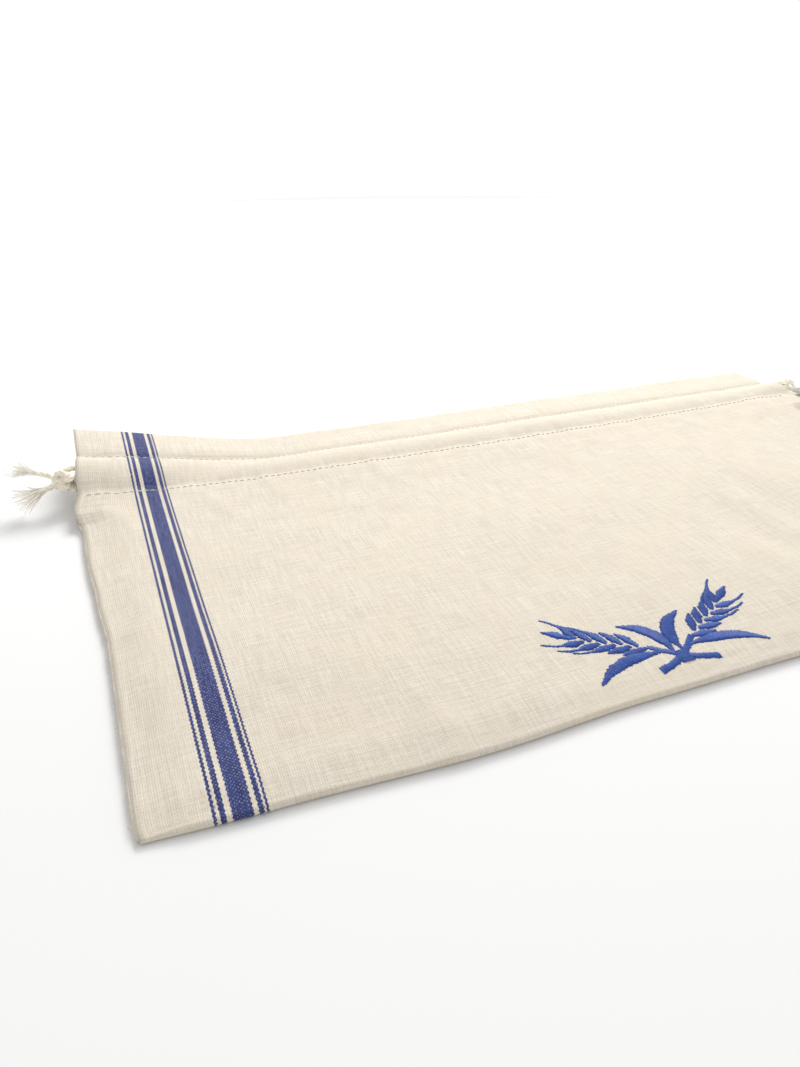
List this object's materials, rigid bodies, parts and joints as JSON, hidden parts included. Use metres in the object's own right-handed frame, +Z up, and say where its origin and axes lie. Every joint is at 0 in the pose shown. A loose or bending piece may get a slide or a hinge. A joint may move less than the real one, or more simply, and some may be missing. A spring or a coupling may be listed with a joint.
{
  "type": "linen bread bag",
  "caption": "Flat cloth bread bag of striped half-linen with a drawstring tunnel under a header, a knotted cord out at each side, lying empty.",
  "frame": {"origin": "on the surface the bag lies on, under the middle of the bag's cloth", "axes": "+X along the mouth, from the striped side to the plain one; +Y from the bottom fold to the mouth; +Z up"},
  "size_m": [0.4717, 0.2718, 0.0229],
  "materials": {
    "half_linen": "matt, natural cream with a woven blue stripe",
    "cotton_cord": "matt, natural"
  },
  "bodies": {
    "root": {"bag_cloth": "half_linen", "drawstring_left": "cotton_cord", "drawstring_right": "cotton_cord", "knot_left": "cotton_cord", "knot_right": "cotton_cord", "tail_left_upper": "cotton_cord", "tail_left_lower": "cotton_cord", "tail_right_upper": "cotton_cord", "tail_right_lower": "cotton_cord"}
  },
  "joints": []
}
